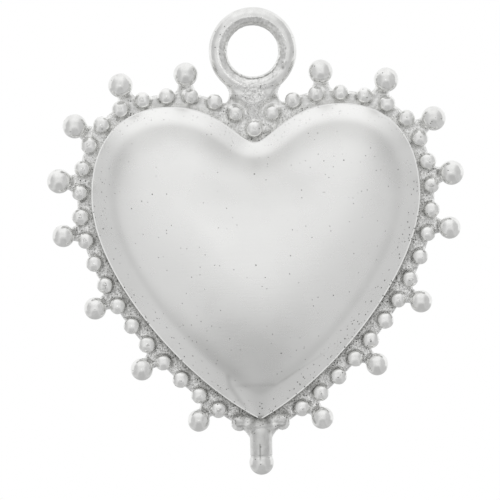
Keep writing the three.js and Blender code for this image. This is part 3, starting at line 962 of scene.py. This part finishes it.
def build_plate():
    flat, faces = plate_grid()
    outer, inner = border_loops(faces)[:2]
    flat[outer] = onto_outline(flat[outer])
    inside = np.maximum(-outline_distance(flat), 0)
    inside[outer] = 0
    from_dome = from_line(flat, dome_line)
    crevice = CREVICE_DEPTH * bell(np.minimum(from_dome, 0.6), 0.28)
    height = PLATE_THICKNESS + solder_height(flat) + lumps(flat) - crevice
    round_off = np.sqrt(np.clip(1 - (1 - np.minimum(inside / PLATE_EDGE, 1)) ** 2, 0, 1))
    middle = PLATE_MIDDLE * PLATE_THICKNESS
    height = middle + (height - middle) * round_off
    height[from_dome < -0.3] = PLATE_THICKNESS - DOME_SEAT

    whole = bmesh.new()
    verts = [whole.verts.new(Vector((x, back_y - up, z)) * MM) for (x, z), up in zip(flat, height)]
    for face in faces:
        whole.faces.new([verts[i] for i in face])

    # The edge and the rounded corner behind it
    behind = back_y - PLATE_INSET
    loop = flat[outer]
    slope = outline_slope(loop)
    ring = [verts[i] for i in outer]
    for turn in (0, 30, 60, 90):
        drawn_in = PLATE_BACK_EDGE * (1 - math.cos(math.radians(turn)))
        y = behind - PLATE_BACK_EDGE * (1 - math.sin(math.radians(turn)))
        following = [whole.verts.new(Vector((x, y, z)) * MM) for x, z in loop - slope * drawn_in]
        for i in range(len(ring)):
            k = (i + 1) % len(ring)
            whole.faces.new((ring[k], ring[i], following[i], following[k]))
        ring = following

    # The vent hole, through the plate
    vent_z = dome_anchors["widest"][1]
    turns = [2 * math.pi * i / VENT_SIDES for i in range(VENT_SIDES)]
    circle = [(VENT_HOLE / 2 * math.cos(turn), vent_z + VENT_HOLE / 2 * math.sin(turn)) for turn in turns]
    hole = [
        [whole.verts.new(Vector((x, y, z)) * MM) for x, z in circle]
        for y in (behind, front_y + DOME_SEAT)
    ]
    for i in range(VENT_SIDES):
        k = (i + 1) % VENT_SIDES
        whole.faces.new((hole[0][i], hole[0][k], hole[1][k], hole[1][i]))

    # Flat fills: the back, and the front under the dome
    for edge, bore in ((ring, hole[0]), ([verts[i] for i in inner], hole[1])):
        edges = []
        for border in (edge, bore):
            for i in range(len(border)):
                pair = (border[i], border[(i + 1) % len(border)])
                edges.append(whole.edges.get(pair) or whole.edges.new(pair))
        bmesh.ops.triangle_fill(whole, use_beauty=True, use_dissolve=False, edges=edges)

    made = piece(
        "back_plate_skin", finished(whole, "back_plate_skin"), DULL,
        ["back_plate", "bail_seat"], plate_shade_and_grime, sharp=60,
    )
    paint(made.data, "flowed", plate_flow)


build_plate()


# Granules and balls

def granule_grime_and_shade(places):
    """An even grime, with a little more painted shade round the foot of a granule, in patches."""
    height = front_y - places[:, 1] - 0.7 * roughs(places, size=0.7, seed=9.0)
    return GRANULE_GRIME + (FOOT_SHADE - GRANULE_GRIME) * (1 - ease(height, -0.1, UNSHADED_HEIGHT))


def add_shot(whole, centre, radius, squash, foot, dents, level, seed):
    """Adds one ball of melted silver: nearly round, dented, a little flattened where it sits."""
    place = np.array([centre[0], front_y - squash * (radius - foot), centre[1]])
    for vert in bmesh.ops.create_icosphere(whole, subdivisions=level, radius=1.0)["verts"]:
        unit = np.array(vert.co)
        swell = 0.99 - dents + 0.02 * rough(unit, 0.9, seed) + dents * rough(unit, 0.4, seed + 3)
        at = place + unit * radius * min(swell, 0.987) * [1, squash, 1]
        vert.co = Vector(at) * MM


def build_shot():
    for seed, (name, centres) in enumerate(granules.items()):
        whole = bmesh.new()
        for number, centre in enumerate(centres):
            differs = rough((seed, number, 0.5), 1.0, seed=7.0)
            radius = granule_radius * (GRANULE_SWELL + GRANULE_SPREAD * differs)
            squash = granule_squash * granule_radius / radius
            add_shot(
                whole, centre, radius, squash, GRANULE_FOOT, GRANULE_DENTS, GRANULE_LEVEL,
                seed + 0.37 * number,
            )
        mesh = finished(whole, name + "_skin")
        piece(name + "_skin", mesh, POLISHED, [name], granule_grime_and_shade)
    for seed, (name, (centre, radius)) in enumerate(balls.items()):
        whole = bmesh.new()
        add_shot(whole, centre, radius, 1.0, BALL_FOOT, BALL_DENTS, BALL_LEVEL, 50 + seed)
        mesh = finished(whole, name + "_skin")
        piece(
            name + "_skin", mesh, POLISHED, [name],
            lambda places: np.full(len(places), BALL_GRIME),
        )


build_shot()


# Ring

def ring_shade_and_grime(places):
    """Painted shade on the ring's inner side, most at its top and in uneven patches, at the hole's edge and
    at its foot; an even grime, darker broken patches along its ridge, and a painted shadow under the lump of
    solder.
    """
    x, y, z = places.T
    away = np.hypot(x, z)
    front = y < 0
    inside = 1 - ease(away, ring_radius - 0.1, ring_radius - 0.02)
    top = ease(z, 0.0, RING_HOLE / 2)
    dirt_and_shade = RING_GRIME + inside * (0.06 + 0.1 * top + 0.4 * roughs(places, size=0.28, seed=4.0))
    dirt_and_shade += 0.12 * (1 - ease(away, RING_HOLE / 2, RING_HOLE / 2 + 0.6))
    ridge = bell(away - ring_radius + 0.21, 0.06) * front
    dirt_and_shade += 0.35 * ridge * ease(roughs(places, size=0.45, seed=6.0), -0.1, 0.25)
    foot = 1 - ease(z, -ring_outer, -0.8 * ring_outer)
    lump_shadow = bell(np.hypot(x - LUMP_SHADOW[0], z - LUMP_SHADOW[1]), 0.25) * front
    return np.maximum(np.maximum(dirt_and_shade, 0.8 * foot), lump_shadow)


def build_ring():
    points = []
    for i in range(RING_STEPS):
        turn = 2 * math.pi * i / RING_STEPS
        for k in range(RING_SIDES):
            angle = 2 * math.pi * k / RING_SIDES
            lean = math.degrees(angle) - 270
            unit = (math.sin(turn) * 3, math.cos(angle), math.cos(turn) * 3 + math.sin(angle))
            worn = max(0.1, 0.5 + 1.5 * rough(unit, 0.35, seed=31.0))
            ridge = RING_RIDGE * worn * bell(lean - RIDGE_LEAN, RIDGE_WIDTH)
            facet = RING_FACET * bell(lean - FACET_LEAN, FACET_WIDTH)
            inner = max(0, -math.sin(math.radians(lean)))
            uneven = 0.015 * rough(unit, 1.1, seed=11.0) + 0.02 * inner * rough(unit, 0.3, seed=21.0)
            from_lump = math.hypot(math.degrees(turn) - LUMP_TURN, 0.45 * (lean - LUMP_LEAN))
            lump = RING_LUMP * bell(from_lump, LUMP_WIDTH)
            radius = RING_WIRE / 2 - RING_INSET + ridge - facet + uneven + lump
            out = ring_radius + radius * math.cos(angle)
            points.append((out * math.sin(turn), radius * math.sin(angle), out * math.cos(turn)))
    faces = []
    for i in range(RING_STEPS):
        faces += band(i * RING_SIDES, RING_SIDES, ((i + 1) % RING_STEPS) * RING_SIDES)
    mesh = flat_mesh("bail_ring_skin", points, faces)
    piece("bail_ring_skin", mesh, POLISHED, ["bail_ring"], ring_shade_and_grime)


build_ring()


# Drop

drop_axis_y = front_y - DROP_STEM / 2 + DROP_FLAT


def nick(x, z):
    """1 inside the short upright nick in the front of the drop."""
    above_foot = ease(z, NICK_FOOT_Z, NICK_FOOT_Z + NICK_FADE)
    below_top = ease(-z, -NICK_TOP_Z, -NICK_TOP_Z + NICK_FADE)
    return bell(x - NICK_X, NICK_WIDTH) * above_foot * below_top


def end_part(places):
    """0 on the drop's stem, 1 on its round end."""
    return ease(-places[:, 2], -DROP_SEAM_Z, -DROP_SEAM_Z + 0.2)


def drop_grime_and_shade(places):
    x, y, z = places.T
    inside = nick(x, z) * (y < drop_axis_y)
    # an even grime, lighter on the round end, with painted shade inside the nick
    return DROP_GRIME + (DROP_END_GRIME - DROP_GRIME) * end_part(places) + NICK_SHADE * inside


def drop_profile():
    """Radius and height down the drop: its round top, stem, groove and round end."""
    stem = DROP_STEM / 2
    end = DROP_END / 2
    groove_z = drop_end_z + math.sqrt(end ** 2 - stem ** 2) + 0.25
    profile = []
    for turn in np.linspace(80, 0, 9):
        angle = math.radians(turn)
        profile.append((stem * math.cos(angle), drop_top_z - 0.4 + stem * math.sin(angle)))
    for z in np.linspace(drop_top_z - 0.6, groove_z, 40)[:-1]:
        profile.append((stem, z))
    profile.append((stem - 0.6 * DROP_GROOVE, groove_z))
    profile.append((stem - DROP_GROOVE, groove_z - 0.08))
    first = math.asin((groove_z - 0.2 - drop_end_z) / end)
    for turn in np.linspace(first, -math.pi / 2, 24)[:-1]:
        profile.append((end * math.cos(turn), drop_end_z + end * math.sin(turn)))
    return profile


def build_drop():
    profile = drop_profile()
    points = []
    for radius, z in profile:
        for k in range(DROP_SIDES):
            angle = 2 * math.pi * k / DROP_SIDES
            x = radius * math.cos(angle)
            y = radius * math.sin(angle)
            if y < 0:
                y += NICK_DEPTH * nick(x, z)
            points.append((x, drop_axis_y + y, z))
    points.append((0, drop_axis_y, drop_end_z - DROP_END / 2))
    points.append((0, drop_axis_y, profile[0][1]))
    mesh = flat_mesh("drop_skin", points, closed(len(profile), DROP_SIDES))
    made = piece("drop_skin", mesh, POLISHED, ["drop"], drop_grime_and_shade)
    paint(made.data, "flowed", lambda places: 1 - end_part(places))


build_drop()


# Camera: straight on, from far off, with a slight roll

def build_camera():
    lens = bpy.data.cameras.new("camera")
    lens.sensor_width = SENSOR
    lens.lens = SENSOR * CAMERA_DISTANCE / FIELD
    camera = bpy.data.objects.new("camera", lens)
    bpy.context.collection.objects.link(camera)
    camera.matrix_world = (
        Matrix.Translation(Vector((CAMERA_CENTRE[0], -CAMERA_DISTANCE, CAMERA_CENTRE[1])) * MM)
        @ Matrix.Rotation(math.pi / 2, 4, "X")
        @ Matrix.Rotation(math.radians(CAMERA_ROLL), 4, "Z")
    )
    bpy.context.scene.camera = camera


# Studio: a soft sky all round, a small lamp by the camera, and a pale floor

def build_world():
    world = bpy.data.worlds.new("studio")
    world.use_nodes = True
    bpy.context.scene.world = world
    tree = world.node_tree
    tree.nodes.clear()
    way = node(tree, "ShaderNodeTexCoord").outputs["Generated"]
    axes = node(tree, "ShaderNodeSeparateXYZ", {"Vector": way}).outputs
    shifted = math_node(tree, "ADD", axes["X"], SKY_SHIFT)
    across, off_middle = (
        node(tree, "ShaderNodeMath", {0: value}, operation="ABSOLUTE").outputs[0]
        for value in (axes["X"], shifted)
    )

    # In front, the sky is dimmer to the sides and low down, and brighter above
    below = math_node(
        tree, "MULTIPLY", graded(tree, axes["Z"], -0.7, 0.12, 1, 0),
        graded(tree, across, 0.25, 0.8, 1, 0.08),
        graded(tree, axes["X"], 0.3, 0.6, 1, 0.65),
    )
    front = math_node(
        tree, "MULTIPLY", graded(tree, off_middle, 0.34, 0.82, SKY_FRONT, SKY_SIDE),
        graded(tree, axes["Z"], 0.4, 0.85, 1, SKY_TOP),
        graded(tree, below, 0, 1, 1, SKY_LOW),
    )

    # Behind the object it is white, and so is what the camera sees of it
    behind = math_node(
        tree, "MULTIPLY", graded(tree, axes["Y"], -0.2, 0.15, 0, 1),
        graded(tree, axes["Z"], -0.6, -0.1, 0, 1),
    )
    seen = node(tree, "ShaderNodeLightPath").outputs["Is Camera Ray"]
    strength = math_node(tree, "MAXIMUM", front, behind, seen)
    sky = node(tree, "ShaderNodeBackground", {"Color": (1, 1, 1, 1), "Strength": strength})
    out = node(tree, "ShaderNodeOutputWorld")
    tree.links.new(sky.outputs[0], out.inputs["Surface"])


def build_lamp():
    lamp = bpy.data.lights.new("front_lamp", "AREA")
    lamp.shape = "DISK"
    lamp.size = LAMP_SIZE * MM
    lamp.energy = LAMP_POWER
    made = bpy.data.objects.new("front_lamp", lamp)
    bpy.context.collection.objects.link(made)
    place = Vector(LAMP_PLACE) * MM
    made.location = place
    made.rotation_euler = (Vector(LAMP_AIM) * MM - place).to_track_quat("-Z", "Y").to_euler()


def build_floor():
    disc = bmesh.new()
    bmesh.ops.create_circle(disc, cap_ends=True, segments=96, radius=FLOOR_RADIUS * MM)
    mesh = finished(disc, "floor")
    material, tree = new_material("floor")
    inputs = tree.nodes["Principled BSDF"].inputs
    inputs["Base Color"].default_value = FLOOR_COLOUR
    inputs["Roughness"].default_value = FLOOR_ROUGHNESS
    mesh.materials.append(material)
    floor = bpy.data.objects.new("floor", mesh)
    floor.location = (0, 0, FLOOR_Z * MM)
    bpy.context.collection.objects.link(floor)
    floor.visible_glossy = False


build_camera()
build_world()
build_lamp()
build_floor()
bpy.context.scene.view_settings.view_transform = "Standard"
